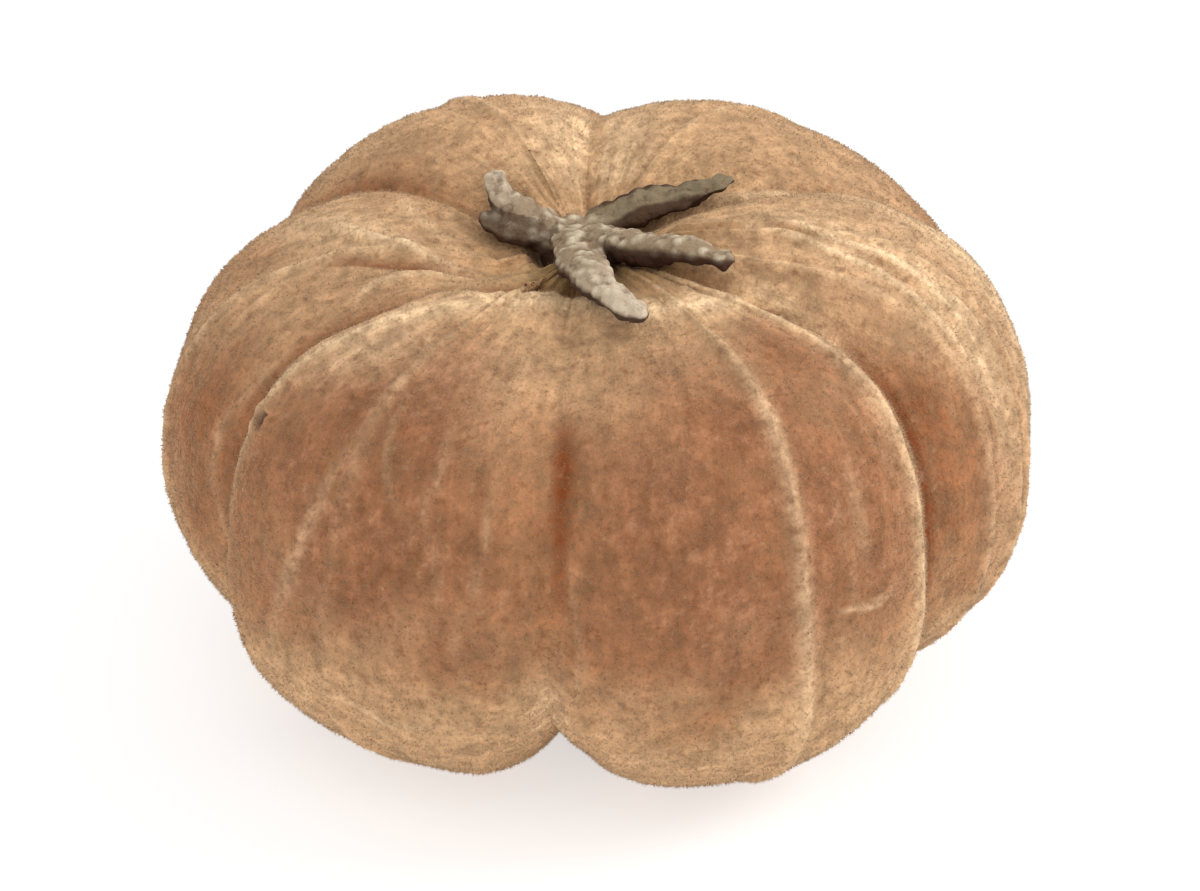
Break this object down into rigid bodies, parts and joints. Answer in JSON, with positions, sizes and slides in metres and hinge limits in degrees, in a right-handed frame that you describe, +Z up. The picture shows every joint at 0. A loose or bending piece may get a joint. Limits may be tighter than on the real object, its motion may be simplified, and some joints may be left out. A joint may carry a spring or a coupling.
{
  "type": "dried putka pod",
  "caption": "Squat, lobed dried seed pod with raised veins, a dried style star in the hollow of its crown and a corky stalk stub below.",
  "frame": {"origin": "on the ground, below the middle of the husk", "axes": "+Z up along the pod's axis from stalk to crown, -Y towards the side that the picture shows"},
  "size_m": [0.0296, 0.0288, 0.0194],
  "materials": {
    "husk": "dry, velvety, matt tan and brown seed husk with pale veins",
    "style": "dry, rough, grey-brown withered style arms, dark in their folds",
    "stalk": "rough dark brown cork"
  },
  "bodies": {
    "root": {"pod_husk": "husk", "style_star": "style", "stalk_stub": "stalk"}
  },
  "joints": []
}
